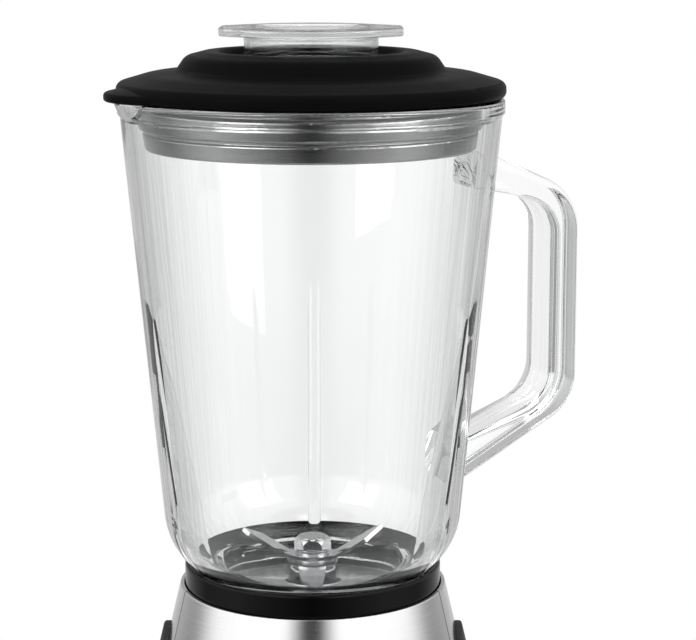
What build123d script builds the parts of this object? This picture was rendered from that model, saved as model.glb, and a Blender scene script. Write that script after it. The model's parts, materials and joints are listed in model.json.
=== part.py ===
from build123d import *
import math
import os

os.makedirs("parts", exist_ok=True)

# Millimetres. The drive axis is Z, the table is z = 0, the control dial faces -Y and +X is to its right.

# Clearances
running_gap = 0.05
seat_gap = 0.05
skin_gap = 0.15
loose_gap = 0.4

# Feet, bottom plate and skirt
foot_height = 4.0
foot_radius = 9.0
foot_stem_radius = 3.0
foot_circle = 66.0
plate_thickness = 3.0
plate_inset = 0.5
skirt_height = 20.0
skirt_step = 1.2
vent_count = 18
vent_inner_circle = 16.0
vent_outer_circle = 40.0
vent_width = 4.0

# Casing
base_height = 168.0
steel_flare = 0.2376
steel_thickness = 0.6
casing_wall = 2.4
rim_width = 1.4
seat_depth = 25.0
floor_thickness = 3.0
well_radius = 20.0
drip_height = 3.0
drip_wall = 2.0
key_count = 4
key_width = 6.0
key_depth = 3.4
key_height = 5.0
strip_angle = 38.0
seam_width = 0.5
grip_proud = 2.6
grip_drop = 17.0
grip_width = 20.0
grip_spread = 6.0
grip_round = 1.2

# Fasteners
screw_radius = 1.9
screw_head_radius = 3.5
screw_head_height = 1.8
screw_clearance = 0.3
base_screw_circle = 70.0
base_screw_angles = (30, 150, 210, 330)
base_screw_length = 16.0
post_radius = 4.5

# Control dial
dial_height = 84.0
bezel_radius = 33.0
bezel_rise = 5.0
bezel_reach = 14.0
ring_width = 2.4
knob_radius = 21.0
knob_height = 15.0
knob_lift = 0.6
knob_flutes = 18
knob_flute_radius = 2.6
knob_roof = 3.0
pointer_length = 9.0
pointer_width = 1.8
pointer_thickness = 1.2
shaft_radius = 3.0
switch_size = 26.0
switch_depth = 16.0
switch_neck_radius = 5.0
switch_nut_radius = 8.0
switch_nut_thickness = 2.0

# Cord inlet
gland_height = 14.5
gland_radius = 6.0
gland_flange_radius = 8.0
gland_flange = 2.5
gland_depth = 8.0
cord_hole_radius = 3.6

# Motor
motor_shaft_radius = 4.0
core_radius = 20.0
core_height = 38.0
core_bottom = 58.0
core_slots = 12
slot_width = 2.4
slot_depth = 7.0
air_gap = 0.6
stator_x = 78.0
stator_y = 64.0
stator_side = 8.0
stator_corner = 6.0
pole_width = 22.0
shoe_thickness = 4.4
shoe_half_angle = 55.0
coil_thickness = 4.6
coil_width = 7.6
coil_overhang = 7.6
winding_length = 10.0
winding_radius = 18.0
winding_bore = 8.0
bracket_plate = 4.0
bracket_reach = 12.0
lower_reach = 28.0
leg_radius = 4.5
bolt_inset = 5.0
bolt_radius = 2.0
bolt_nut_height = 3.0
bearing_radius = 11.0
bearing_width = 7.0
boss_wall = 3.5
commutator_radius = 11.0
commutator_height = 14.0
commutator_gap = 2.0
brush_width = 6.0
brush_length = 14.0
holder_wall = 1.2
holder_length = 18.0
fan_radius = 36.0
fan_hub_radius = 9.0
fan_disc = 2.0
fan_blade_height = 6.0
fan_blade_count = 10
fan_blade_thickness = 1.6
grommet_radius = 6.5
grommet_height = 3.0
bracket_screw_circle = 32.0
bracket_screw_length = 14.0

# Coupling between motor and jar
star_radius = 9.0
star_lobe_radius = 2.6
star_lobes = 6
star_height = 7.0
drive_hub_radius = 15.0
drive_hub_height = 3.4
driven_radius = 15.0
driven_roof = 3.2

# Interlock
pin_radius = 1.3
pin_head_radius = 2.2
pin_head_height = 1.5
pin_travel = 2.4
pin_spare = 0.1
micro_x = 12.0
micro_y = 6.5
micro_height = 10.0
button_radius = 1.1
button_height = 2.0
hanger_thickness = 3.0

# Jar collar
collar_radius = 48.4
collar_height = 33.5
collar_wall = 3.2
collar_flange = 4.0
collar_flange_bore = 33.0
carrier_height = 15.0
collar_crown = 1.2

# Blade carrier and blades
carrier_thickness = 3.0
carrier_hub_radius = 10.0
carrier_hub_height = 14.0
hub_drop = 1.0
bush_radius = 6.0
bush_length = 5.0
spindle_seal_height = 2.6
spindle_radius = 4.0
spindle_flange_radius = 7.0
spindle_flange_height = 2.0
blade_thickness = 1.6
blade_shoulder = 1.0
blade_tip_radius = 30.0
blade_root_width = 12.0
blade_tip_width = 4.0
lower_blade_tilt = -10.0
upper_blade_tilt = 32.0
spacer_height = 1.4
blade_nut_radius = 7.0
blade_nut_height = 6.0
seal_thickness = 2.0

# Glass jar
jar_height = 188.2
jar_turn = 22.0
jar_rim_radius = 70.5
jar_waist_radius = 53.7
rim_wall = 3.6
waist_wall = 4.7
neck_radius = 39.5
neck_height = 9.0
neck_wall = 4.5
neck_blend = 1.6
bowl_slope = 29.0
bowl_radius = 28.0
bowl_share = 0.88
bead_proud = 0.4
bead_height = 6.5
bead_round = 1.6
lug_count = 3
lug_span = 40.0
lug_height = 2.8
lug_proud = 1.6
lug_lift = 3.2
rib_spread = 66.0
rib_width = 5.2
rib_depth = 8.0
rib_bottom = 6.0
rib_crest = 30.0
rib_length = 106.0
rib_round = 1.8
spout_half_width = 24.0
spout_reach = 3.6
spout_depth = 10.0
handle_reach = 105.8
handle_width = 24.0
handle_thickness = 11.6
handle_top = 149.2
handle_bottom = 67.5
handle_fall = 0.44
handle_rise = 0.555
handle_root = 1.4
handle_bend = 22.0
handle_round = 3.2

# Lid, its seal and the measuring cap
lid_gap = 0.3
lid_overhang = 0.7
lid_edge = 5.2
seal_room = 6.3
lid_skirt_wall = 2.6
lid_skirt_depth = 16.0
lid_wall = 2.6
dome_radius = 49.5
dome_base = 9.6
dome_height = 16.6
crest_radius = 34.0
recess_depth = 3.6
tongue_reach = 6.4
tongue_radius = 27.0
tongue_edge = 3.0
tongue_slope = 9.0
fin_gap = 0.3
band_step = 3.6
cap_radius = 24.6
cap_wall = 2.0
cap_top = 25.3
cap_depth = 37.0
cap_flange = 3.2
cap_flange_radius = 29.5
cap_shoulder = 1.6
cap_shoulder_width = 2.6
cap_ear_reach = 33.5
cap_ear_width = 22.0
cap_ear_round = 5.0
cap_dish = 1.2
cap_roof = 1.8

# Levels and sizes that follow from the values above
plate_top = foot_height + plate_thickness
housing_bottom = foot_height + plate_inset
skirt_top = housing_bottom + skirt_height
seat_floor = base_height - seat_depth
floor_underside = seat_floor - floor_thickness
seat_bore = collar_radius + loose_gap
steel_top_radius = seat_bore + rim_width
seat_wall = seat_bore + 2 * casing_wall + steel_thickness + skin_gap + 2 * seat_gap
seat_joint = base_height - (seat_wall - steel_top_radius) / steel_flare
grip_top = base_height - grip_drop
collar_top = seat_floor + collar_height
carrier_seat = seat_floor + carrier_height
carrier_top = carrier_seat + carrier_thickness
hub_bottom = carrier_seat - hub_drop
hub_top = hub_bottom + carrier_hub_height
jar_foot = carrier_top + seal_thickness + seat_gap
neck_top = jar_foot + neck_height
jar_rim = jar_foot + jar_height
lid_seat = jar_rim + lid_gap
lug_radius = neck_radius + lug_proud
collar_bore = lug_radius + loose_gap
core_top = core_bottom + core_height
upper_plate = core_top + bracket_reach
upper_plate_top = upper_plate + bracket_plate
lower_plate_top = core_bottom - lower_reach
lower_plate = lower_plate_top - bracket_plate
boss_radius = bearing_radius + boss_wall
boss_height = bearing_width + boss_wall - bracket_plate
bolt_x = stator_x / 2 - bolt_inset
bolt_y = stator_y / 2 - bolt_inset + 1
fan_top = lower_plate - boss_height - 1
fan_bottom = fan_top - fan_disc - fan_blade_height
shaft_bottom = fan_bottom
drive_bottom = seat_floor - running_gap
star_bottom = drive_bottom + drive_hub_height
star_top = star_bottom + star_height
driven_bottom = star_bottom + loose_gap
driven_top = star_top + loose_gap + driven_roof
shaft_top = star_top - 1
spindle_flange = hub_top + loose_gap
lower_blade_bottom = spindle_flange + spindle_flange_height + seat_gap
upper_blade_bottom = lower_blade_bottom + blade_thickness + spacer_height + 2 * seat_gap
nut_bottom = upper_blade_bottom + blade_thickness + spacer_height + 2 * seat_gap
spout_turn = jar_turn + 180
dial_tilt = math.atan(steel_flare)


def steel_radius(z):
    """Outer radius of the steel cone at a height."""
    return steel_top_radius + steel_flare * (base_height - z)


def shell_radius(z):
    """Outer radius of the plastic casing that backs the steel."""
    return steel_radius(z) - steel_thickness - skin_gap


def up_the_wall(z):
    """How far up the glass wall a height is: 0 at the neck, 1 at the rim."""
    return (z - neck_top) / (jar_rim - neck_top)


def wall_radius(z):
    """Outer radius of the glass wall at a height."""
    return jar_waist_radius + (jar_rim_radius - jar_waist_radius) * up_the_wall(z)


def cavity_radius(z):
    """Inner radius of the glass wall at a height."""
    return wall_radius(z) - waist_wall - (rim_wall - waist_wall) * up_the_wall(z)


skirt_radius = steel_radius(skirt_top) + skirt_step
plate_radius = skirt_radius - casing_wall - loose_gap
dial = Plane(
    origin=(0, -steel_radius(dial_height), dial_height),
    x_dir=(1, 0, 0),
    z_dir=(0, -math.cos(dial_tilt), math.sin(dial_tilt)),
)
gland_plane = Plane(origin=(0, skirt_radius, gland_height), x_dir=(-1, 0, 0), z_dir=(0, 1, 0))


def outline(points):
    """Closed outline in the XZ plane from (r, z) points; a third number rounds that corner."""
    corners = [(p[0], p[1]) for p in points]
    rounding = [p[2] if len(p) == 3 else 0 for p in points]
    return Plane.XZ * make_face(FilletPolyline(*corners, radius=rounding, close=True))


def turned(points, start=0, arc=360):
    """Solid turned about the drive axis, from the azimuth start through arc degrees."""
    return Rot(0, 0, start) * revolve(outline(points), Axis.Z, revolution_arc=arc)


def rod(radius, bottom, top, x=0, y=0):
    """Upright cylinder between two heights."""
    upright = (Align.CENTER, Align.CENTER, Align.MIN)
    return Pos(x, y, bottom) * Cylinder(radius, top - bottom, align=upright)


def tube(radius, bore, bottom, top, x=0, y=0):
    """Upright ring between two heights."""
    return rod(radius, bottom, top, x, y) - rod(bore, bottom, top, x, y)


def block(x_size, y_size, bottom, top, x=0, y=0):
    """Upright box between two heights."""
    upright = (Align.CENTER, Align.CENTER, Align.MIN)
    return Pos(x, y, bottom) * Box(x_size, y_size, top - bottom, align=upright)


def hexagon(radius, bottom, top, x=0, y=0):
    """Upright six-sided bar between two heights."""
    return Pos(x, y, bottom) * extrude(RegularPolygon(radius, 6), top - bottom)


def on_circle(angles, radius):
    """The x, y places at these azimuths on a circle about the drive axis."""
    spots = [math.radians(a) for a in angles]
    return [(radius * math.cos(a), radius * math.sin(a)) for a in spots]


def even(count, start=0):
    """Azimuths of evenly spaced places."""
    return [start + 360 / count * k for k in range(count)]


def joined(shapes):
    """One solid from pieces that run into each other."""
    total = shapes[0]
    for shape in shapes[1:]:
        total += shape
    return total


def cone_fill(inset, bottom, top):
    """Solid cone inside the steel surface, this far in from it."""
    return turned([
        (0, bottom),
        (steel_radius(bottom) - inset, bottom),
        (steel_radius(top) - inset, top),
        (0, top),
    ])


foot_spots = on_circle(even(4, 45), foot_circle)
base_screw_spots = on_circle(base_screw_angles, base_screw_circle)
bracket_screw_spots = on_circle(even(4, 45), bracket_screw_circle)
bolt_spots = [(sx * bolt_x, sy * bolt_y) for sx in (-1, 1) for sy in (-1, 1)]
pin_y = collar_radius - collar_wall / 2


# Casing

def motor_housing():
    """Black moulding below the seat: the skirt, the cone that backs the steel and the screw posts."""
    top = seat_joint - seat_gap
    body = turned([
        (skirt_radius, housing_bottom, 1.5),
        (skirt_radius, skirt_top, 1.0),
        (shell_radius(skirt_top), skirt_top),
        (shell_radius(top), top),
        (shell_radius(top) - casing_wall, top),
        (shell_radius(skirt_top) - casing_wall, skirt_top),
        (skirt_radius - casing_wall, housing_bottom),
    ])
    room = cone_fill(steel_thickness + casing_wall / 2, plate_top + seat_gap, floor_underside)
    post_reach = base_screw_circle - post_radius + casing_wall + steel_thickness
    post_top = base_height - (post_reach - steel_top_radius) / steel_flare
    for x, y in base_screw_spots:
        body += rod(post_radius, plate_top + seat_gap, post_top, x, y) & room
    for x, y in base_screw_spots:
        body -= rod(screw_radius + seat_gap, 0, plate_top + base_screw_length, x, y)
    body -= dial * rod(switch_neck_radius + loose_gap, -casing_wall * 3, casing_wall)
    body -= gland_plane * rod(gland_radius + seat_gap, -gland_depth * 2, gland_depth)
    return body


def jar_seat():
    """Black cup on top of the housing that the jar stands in; the motor hangs from its floor."""
    lip = base_height - steel_thickness - seat_gap
    cup = turned([
        (shell_radius(seat_joint), seat_joint),
        (shell_radius(lip), lip),
        (seat_bore, lip),
        (seat_bore, seat_floor, 1.0),
        (well_radius + drip_wall, seat_floor),
        (well_radius + drip_wall, seat_floor + drip_height, 0.8),
        (well_radius, seat_floor + drip_height, 0.8),
        (well_radius, floor_underside),
        (seat_bore + casing_wall, floor_underside),
        (seat_bore + casing_wall, seat_joint),
    ])
    hanger_foot = upper_plate_top + grommet_height + seat_gap
    for x, y in bracket_screw_spots:
        cup += rod(post_radius, hanger_foot, floor_underside + 1, x, y)
    key_place = seat_bore - key_depth / 2 + 0.5
    key = block(key_depth, key_width, seat_floor - 1, seat_floor + key_height, x=key_place)
    for a in even(key_count, 45):
        cup += Rot(0, 0, a) * key
    switch_bottom = floor_underside - pin_head_height - micro_height
    switch_wall = pin_y - micro_y / 2 - hanger_thickness / 2 - seat_gap
    cup += block(micro_x, hanger_thickness, switch_bottom, floor_underside + 1, y=switch_wall)
    for x, y in bracket_screw_spots:
        cup -= rod(screw_radius + seat_gap, 0, upper_plate + bracket_screw_length + 4, x, y)
    return cup - rod(pin_radius + running_gap * 2, floor_underside - 1, seat_floor + 1, 0, pin_y)


def steel_skin(middle, arc):
    """Part of the steel skin about an azimuth, with an in-turned top edge and a seam at each side."""
    arc -= math.degrees(seam_width / steel_top_radius)
    under = base_height - steel_thickness
    foot = skirt_top + seat_gap
    inner = seat_bore + 2 * seat_gap
    return turned([
        (steel_radius(foot), foot),
        (steel_radius(base_height), base_height, 0.5),
        (inner, base_height),
        (inner, under),
        (steel_radius(under) - steel_thickness, under),
        (steel_radius(foot) - steel_thickness, foot),
    ], middle - arc / 2, arc)


def front_panel():
    """Front steel skin with the hole behind the dial."""
    hole = dial * rod(switch_neck_radius + loose_gap, -casing_wall, casing_wall)
    return steel_skin(270, 180 - strip_angle) - hole


def rear_panel():
    """Rear steel skin."""
    return steel_skin(90, 180 - strip_angle)


def side_grip(middle):
    """Black arched pad on a side strip, to hold the base by."""
    foot = skirt_top + seat_gap
    shoulder = grip_top - grip_width / 2
    half = grip_width / 2
    spread = half + grip_spread
    sides = Polyline((-half, shoulder), (-spread, foot), (spread, foot), (half, shoulder))
    arch = make_face(sides + ThreePointArc((half, shoulder), (0, grip_top), (-half, shoulder)))
    prism = extrude(Plane.YZ * arch, steel_radius(foot) + 2 * grip_proud)
    pad = turned([
        (steel_radius(foot) + seat_gap, foot),
        (steel_radius(foot) + grip_proud, foot),
        (steel_radius(grip_top) + grip_proud, grip_top),
        (steel_radius(grip_top) + seat_gap, grip_top),
    ], -strip_angle, 2 * strip_angle) & prism
    face = pad.faces().sort_by(SortBy.AREA)[-2:].sort_by(Axis.X)[-1]
    return Rot(0, 0, middle) * fillet(face.edges(), grip_round)


def base_plate():
    """Bottom cover with air slots below the fan, and holes for the feet and screws."""
    plate = rod(plate_radius, foot_height, plate_top)
    slot_middle = (vent_inner_circle + vent_outer_circle) / 2
    slot_length = vent_outer_circle - vent_inner_circle
    slot = extrude(SlotOverall(slot_length, vent_width), plate_thickness * 3)
    for a in even(vent_count):
        plate -= Rot(0, 0, a) * Pos(slot_middle, 0, 0) * slot
    for x, y in base_screw_spots:
        plate -= rod(screw_radius + screw_clearance, 0, plate_top + 1, x, y)
        plate -= rod(screw_head_radius + screw_clearance, 0, foot_height + screw_head_height, x, y)
    for x, y in foot_spots:
        plate -= rod(foot_stem_radius + seat_gap, 0, plate_top + 1, x, y)
    return plate


def rubber_feet():
    """Four soft feet, each pushed through the bottom plate and held by its head."""
    foot = turned([
        (0, 0),
        (foot_radius, 0, 0.8),
        (foot_radius - 1, foot_height - seat_gap),
        (foot_stem_radius, foot_height - seat_gap),
        (foot_stem_radius, plate_top + seat_gap),
        (foot_stem_radius + 1.4, plate_top + seat_gap),
        (foot_stem_radius, plate_top + 2.5),
        (0, plate_top + 2.5),
    ])
    return Compound([Pos(x, y, 0) * foot for x, y in foot_spots])


def screw_up(head_bottom, length, x, y):
    """Screw driven upwards: a flat round head and a plain shank."""
    head = rod(screw_head_radius, head_bottom, head_bottom + screw_head_height, x, y)
    slot_depth_share = screw_head_height / 2
    slot = block(screw_head_radius * 3, 0.8, head_bottom - 1, head_bottom + slot_depth_share, x, y)
    shank_bottom = head_bottom + screw_head_height
    return head - slot + rod(screw_radius, shank_bottom, shank_bottom + length, x, y)


def base_screws():
    """Screws through the bottom plate into the casing posts."""
    head_bottom = foot_height - seat_gap
    return Compound([screw_up(head_bottom, base_screw_length, x, y) for x, y in base_screw_spots])


def cord_gland():
    """Bush in the back of the skirt that the mains lead goes through."""
    body = turned([
        (cord_hole_radius, -gland_depth),
        (gland_radius, -gland_depth),
        (gland_radius, seat_gap),
        (gland_flange_radius, seat_gap),
        (gland_flange_radius, gland_flange, 1.0),
        (cord_hole_radius, gland_flange),
    ])
    return gland_plane * body - turned([
        (0, 0),
        (skirt_radius + seat_gap, 0),
        (skirt_radius + seat_gap, base_height),
        (0, base_height),
    ]) + gland_plane * tube(gland_radius, cord_hole_radius, -gland_depth, seat_gap * 2)


# Controls

def control_bezel():
    """Round dial plate whose back follows the steel cone."""
    plate = dial * turned([
        (shaft_radius + loose_gap, -bezel_reach),
        (bezel_radius, -bezel_reach),
        (bezel_radius, bezel_rise, 1.0),
        (shaft_radius + loose_gap, bezel_rise),
    ])
    plate -= cone_fill(-seat_gap, 0, base_height)
    return plate - dial * rod(switch_nut_radius + loose_gap, -bezel_reach, switch_nut_thickness + loose_gap)


def bezel_ring():
    """Bright ring round the dial plate, also cut to the cone."""
    ring = dial * turned([
        (bezel_radius + seat_gap, -bezel_reach),
        (bezel_radius + ring_width, -bezel_reach),
        (bezel_radius + ring_width, bezel_rise - 1, 1.0),
        (bezel_radius + seat_gap, bezel_rise - 1),
    ])
    return ring - cone_fill(-seat_gap, 0, base_height)


knob_bottom = bezel_rise + knob_lift
knob_top = knob_bottom + knob_height
pointer_place = knob_radius - knob_flute_radius - pointer_length / 2 - 1


def pointer_slot(spare):
    """The bar let into the face of the knob, with this much room round it."""
    return block(pointer_width + 2 * spare, pointer_length + 2 * spare,
                 knob_top - pointer_thickness - spare, knob_top + spare, y=pointer_place)


def speed_knob():
    """Fluted knob with a blind hole for its shaft and a slot for the pointer."""
    knob = turned([
        (0, knob_bottom),
        (knob_radius, knob_bottom, 0.8),
        (knob_radius - 1.2, knob_top, 2.2),
        (0, knob_top),
    ])
    for x, y in on_circle(even(knob_flutes, 10), knob_radius + knob_flute_radius / 2):
        knob -= rod(knob_flute_radius, knob_bottom + 3, knob_top + 1, x, y)
    knob -= rod(shaft_radius + seat_gap, knob_bottom - 1, knob_top - knob_roof)
    return dial * (knob - pointer_slot(seat_gap))


def knob_pointer():
    """Pale bar that shows where the knob points."""
    return dial * (pointer_slot(0) - block(pointer_width * 2, pointer_length * 2, knob_top, knob_top + 1))


switch_front = -(steel_thickness + casing_wall + 2 * seat_gap) - 1.8


def knob_shaft():
    """Steel shaft from the knob into the rotary switch."""
    return dial * rod(shaft_radius, switch_front - switch_depth / 2, knob_top - knob_roof - seat_gap)


def rotary_switch():
    """Switch body behind the panel, with its threaded neck through the casing."""
    body = block(switch_size, switch_size, switch_front - switch_depth, switch_front)
    neck = rod(switch_neck_radius, switch_front - 1, switch_nut_thickness)
    bore = rod(shaft_radius + running_gap, switch_front - switch_depth / 2 - 0.5, switch_nut_thickness + 1)
    tags = [
        block(4, 0.8, switch_front - switch_depth - 5, switch_front - switch_depth + 1, x, 0)
        for x in (-8, 0, 8)
    ]
    return dial * (joined([body, neck, *tags]) - bore)


def switch_nut():
    """Thin nut that holds the switch to the panel."""
    ring = hexagon(switch_nut_radius, seat_gap, switch_nut_thickness)
    return dial * (ring - rod(switch_neck_radius + seat_gap, -1, switch_nut_thickness + 1))


def interlock_pin():
    """Pin that the seated jar holds down and that frees the switch when the jar is lifted."""
    head_top = floor_underside - pin_travel - pin_spare
    head_bottom = head_top - pin_head_height
    return joined([
        rod(pin_head_radius, head_bottom, head_top, 0, pin_y),
        rod(pin_radius, head_bottom, seat_floor - seat_gap, 0, pin_y),
    ])


def interlock_switch():
    """Small switch below the pin, hung from the wall beside it."""
    button_top = floor_underside - pin_travel - pin_spare - pin_head_height - seat_gap
    body_top = button_top - button_height
    return joined([
        block(micro_x, micro_y, body_top - micro_height, body_top, y=pin_y),
        rod(button_radius, body_top - 1, button_top, 0, pin_y),
    ])


def terminal_block():
    """Block on the bottom plate where the lead's wires are clamped."""
    width, depth, height = 30, 14, 12
    middle = 58
    body = block(width, depth, plate_top + seat_gap, plate_top + height, y=middle)
    for x in (-10, 0, 10):
        body -= rod(2.2, plate_top + height / 2, plate_top + height + 1, x, middle)
    return body


# Motor

def stator_core():
    """Laminated frame with two poles that curve round the armature."""
    frame = extrude(RectangleRounded(stator_x, stator_y, stator_corner), core_height)
    opening = Rectangle(stator_x - 2 * stator_side, stator_y - 2 * stator_side + 2)
    frame -= extrude(opening, core_height)
    bore = core_radius + air_gap
    wedge_reach = 3 * bore
    wedge_half = wedge_reach * math.tan(math.radians(shoe_half_angle))
    wedge = make_face(Polyline((0, 0), (wedge_reach, -wedge_half), (wedge_reach, wedge_half), close=True))
    shoe = (Circle(bore + shoe_thickness) - Circle(bore)) & wedge
    neck_end = stator_x / 2 - stator_side + 1
    neck = Pos(neck_end / 2, 0) * Rectangle(neck_end, pole_width) - Circle(bore + shoe_thickness / 2)
    pole = extrude(shoe, core_height) + extrude(neck, core_height)
    core = Pos(0, 0, core_bottom) * (frame + pole + Rot(0, 0, 180) * pole)
    for x, y in bolt_spots:
        core -= rod(bolt_radius + screw_clearance, core_bottom - 1, core_top + 1, x, y)
    return core


def field_coils():
    """Two wound frames, one round each pole."""
    inner_y = pole_width + 2 * loose_gap
    outer_y = inner_y + 2 * coil_width
    inner_z = core_height + 2 * loose_gap
    outer_z = inner_z + 2 * coil_overhang
    frame = RectangleRounded(outer_y, outer_z, 4) - Rectangle(inner_y, inner_z)
    out = stator_x / 2 - stator_side - loose_gap
    coil = Pos(0, 0, core_bottom + core_height / 2) * extrude(
        Plane(origin=(out, 0, 0), x_dir=(0, 1, 0), z_dir=(-1, 0, 0)) * frame, coil_thickness)
    return Compound([coil, Rot(0, 0, 180) * coil])


def armature_core():
    """Slotted stack on the motor shaft."""
    core = tube(core_radius, motor_shaft_radius + seat_gap, core_bottom, core_top)
    for a in even(core_slots):
        slot = block(slot_depth * 2, slot_width, core_bottom - 1, core_top + 1, x=core_radius)
        core -= Rot(0, 0, a) * slot
    return core


def armature_winding():
    """End windings above and below the stack."""
    ends = []
    for bottom in (core_top + seat_gap, core_bottom - seat_gap - winding_length):
        top = bottom + winding_length
        ends.append(turned([
            (winding_bore, bottom, 1.5),
            (winding_radius, bottom, 3),
            (winding_radius, top, 3),
            (winding_bore, top, 1.5),
        ]))
    return Compound(ends)


commutator_top = core_bottom - winding_length - commutator_gap
commutator_bottom = commutator_top - commutator_height


def commutator():
    """Copper bars on a sleeve, where the brushes run."""
    ring = tube(commutator_radius, motor_shaft_radius + seat_gap, commutator_bottom, commutator_top)
    for a in even(core_slots, 15):
        cut = block(2, 0.7, commutator_bottom - 1, commutator_top + 1, x=commutator_radius)
        ring -= Rot(0, 0, a) * cut
    return ring


def motor_shaft():
    """Steel shaft from the fan up to the coupling."""
    shaft = rod(motor_shaft_radius, shaft_bottom, shaft_top)
    return chamfer(shaft.edges().filter_by(GeomType.CIRCLE), 0.4)


def cooling_fan():
    """Radial fan below the lower bracket."""
    disc_bottom = fan_top - fan_disc
    fan = joined([
        rod(fan_radius, disc_bottom, fan_top),
        rod(fan_hub_radius, fan_bottom, fan_top),
    ])
    length = fan_radius - fan_hub_radius + 1
    for a in even(fan_blade_count):
        blade = block(length, fan_blade_thickness, fan_bottom, disc_bottom + 1, x=fan_radius - length / 2)
        fan += Rot(0, 0, a) * blade
    return fan - rod(motor_shaft_radius + seat_gap, fan_bottom - 1, fan_top + 1)


def bearing(bottom):
    """Ball bearing as one ring with the shaft running in it."""
    return tube(bearing_radius, motor_shaft_radius + running_gap, bottom, bottom + bearing_width)


upper_bearing_bottom = upper_plate_top + boss_height - bearing_width
lower_bearing_bottom = lower_plate - boss_height


def bracket_windows(bottom, top):
    """Two air openings beside the bearing boss."""
    size = stator_x / 2 - boss_radius - 12
    place = boss_radius + 3 + size / 2
    return [block(size, pole_width, bottom, top, x=s * place) for s in (-1, 1)]


def upper_bracket():
    """Plate above the stator with four legs, the upper bearing and holes for its screws."""
    plate = Pos(0, 0, upper_plate) * extrude(
        RectangleRounded(stator_x, stator_y, stator_corner), bracket_plate)
    legs = [rod(leg_radius, core_top + seat_gap, upper_plate + 1, x, y) for x, y in bolt_spots]
    boss = rod(boss_radius, upper_plate, upper_plate_top + boss_height)
    body = joined([plate, *legs, boss])
    body -= rod(motor_shaft_radius + 2, upper_plate - 1, upper_plate_top + boss_height + 1)
    body -= rod(bearing_radius + seat_gap, upper_bearing_bottom, upper_plate_top + boss_height + 1)
    for window in bracket_windows(upper_plate - 1, upper_plate_top + 1):
        body -= window
    for x, y in bolt_spots:
        body -= rod(bolt_radius + screw_clearance, core_top - 1, upper_plate_top + 1, x, y)
    for x, y in bracket_screw_spots:
        body -= rod(screw_radius + screw_clearance, upper_plate - 1, upper_plate_top + 1, x, y)
    return body


def lower_bracket():
    """Plate below the stator with four legs and the lower bearing."""
    plate = Pos(0, 0, lower_plate) * extrude(
        RectangleRounded(stator_x, stator_y, stator_corner), bracket_plate)
    legs = [rod(leg_radius, lower_plate_top - 1, core_bottom - seat_gap, x, y) for x, y in bolt_spots]
    boss = rod(boss_radius, lower_plate - boss_height, lower_plate_top)
    body = joined([plate, *legs, boss])
    body -= rod(motor_shaft_radius + 2, lower_plate - boss_height - 1, lower_plate_top + 1)
    bearing_top = lower_bearing_bottom + bearing_width
    body -= rod(bearing_radius + seat_gap, lower_plate - boss_height - 1, bearing_top)
    for window in bracket_windows(lower_plate - 1, lower_plate_top + 1):
        body -= window
    for x, y in bolt_spots:
        body -= rod(bolt_radius + screw_clearance, lower_plate - 1, core_bottom + 1, x, y)
    return body


def motor_bolts():
    """Long bolts that clamp both brackets to the stator."""
    bolts = []
    for x, y in bolt_spots:
        head_top = lower_plate - seat_gap
        head = hexagon(bolt_radius * 1.8, head_top - 2.5, head_top, x, y)
        bolts.append(head + rod(bolt_radius, head_top, upper_plate_top + bolt_nut_height + 1, x, y))
    return Compound(bolts)


def motor_nuts():
    """Nuts on the long bolts."""
    bottom = upper_plate_top + seat_gap
    return Compound([
        hexagon(bolt_radius * 1.8, bottom, bottom + bolt_nut_height, x, y)
        - rod(bolt_radius + seat_gap, bottom - 1, bottom + bolt_nut_height + 1, x, y)
        for x, y in bolt_spots
    ])


def motor_grommets():
    """Rubber rings between the motor and the casing."""
    bottom = upper_plate_top + seat_gap
    return Compound([
        tube(grommet_radius, screw_radius + screw_clearance, bottom, upper_plate_top + grommet_height, x, y)
        for x, y in bracket_screw_spots
    ])


def bracket_screws():
    """Screws that hang the motor from the casing posts."""
    head_bottom = upper_plate - seat_gap - screw_head_height
    return Compound([screw_up(head_bottom, bracket_screw_length, x, y) for x, y in bracket_screw_spots])


brush_middle = (commutator_bottom + commutator_top) / 2
brush_tip = commutator_radius + 0.2
holder_start = brush_tip + 3
holder_side = brush_width + 2 * (holder_wall + seat_gap)


def brush_holders():
    """Square brass tubes that guide the brushes, each on a post of the lower bracket."""
    bottom, top = brush_middle - holder_side / 2, brush_middle + holder_side / 2
    bore = brush_width + 2 * seat_gap
    middle = holder_start + holder_length / 2
    shell = block(holder_length, holder_side, bottom, top, x=middle)
    shell -= block(holder_length - holder_wall, bore, brush_middle - bore / 2, brush_middle + bore / 2,
                   x=middle - holder_wall)
    stand_place = holder_start + holder_length - 3
    stand = block(6, holder_side, lower_plate_top + seat_gap, bottom + 0.5, x=stand_place)
    holder = shell + stand
    return Compound([holder, Rot(0, 0, 180) * holder])


def carbon_brushes():
    """Carbon blocks held against the commutator."""
    brush = block(brush_length, brush_width, brush_middle - brush_width / 2, brush_middle + brush_width / 2,
                  x=brush_tip + brush_length / 2)
    return Compound([brush, Rot(0, 0, 180) * brush])


# Coupling

def star(spare, bottom, top):
    """Six-lobed drive section, grown by the spare room all round."""
    shape = rod(star_radius + spare, bottom, top)
    for x, y in on_circle(even(star_lobes), star_radius):
        shape += rod(star_lobe_radius + spare, bottom, top, x, y)
    return shape


def drive_coupling():
    """Lobed driver on top of the motor shaft."""
    hub = rod(drive_hub_radius, drive_bottom, star_bottom)
    return hub + star(0, star_bottom, star_top) - rod(
        motor_shaft_radius + seat_gap, drive_bottom - 1, shaft_top + seat_gap)


def driven_coupling():
    """Socket under the jar that drops over the driver."""
    body = rod(driven_radius, driven_bottom, driven_top)
    body -= star(loose_gap, driven_bottom - 1, star_top + loose_gap)
    return body - rod(spindle_radius + seat_gap, star_top, driven_top + 1)


# Jar base and blades

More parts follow.
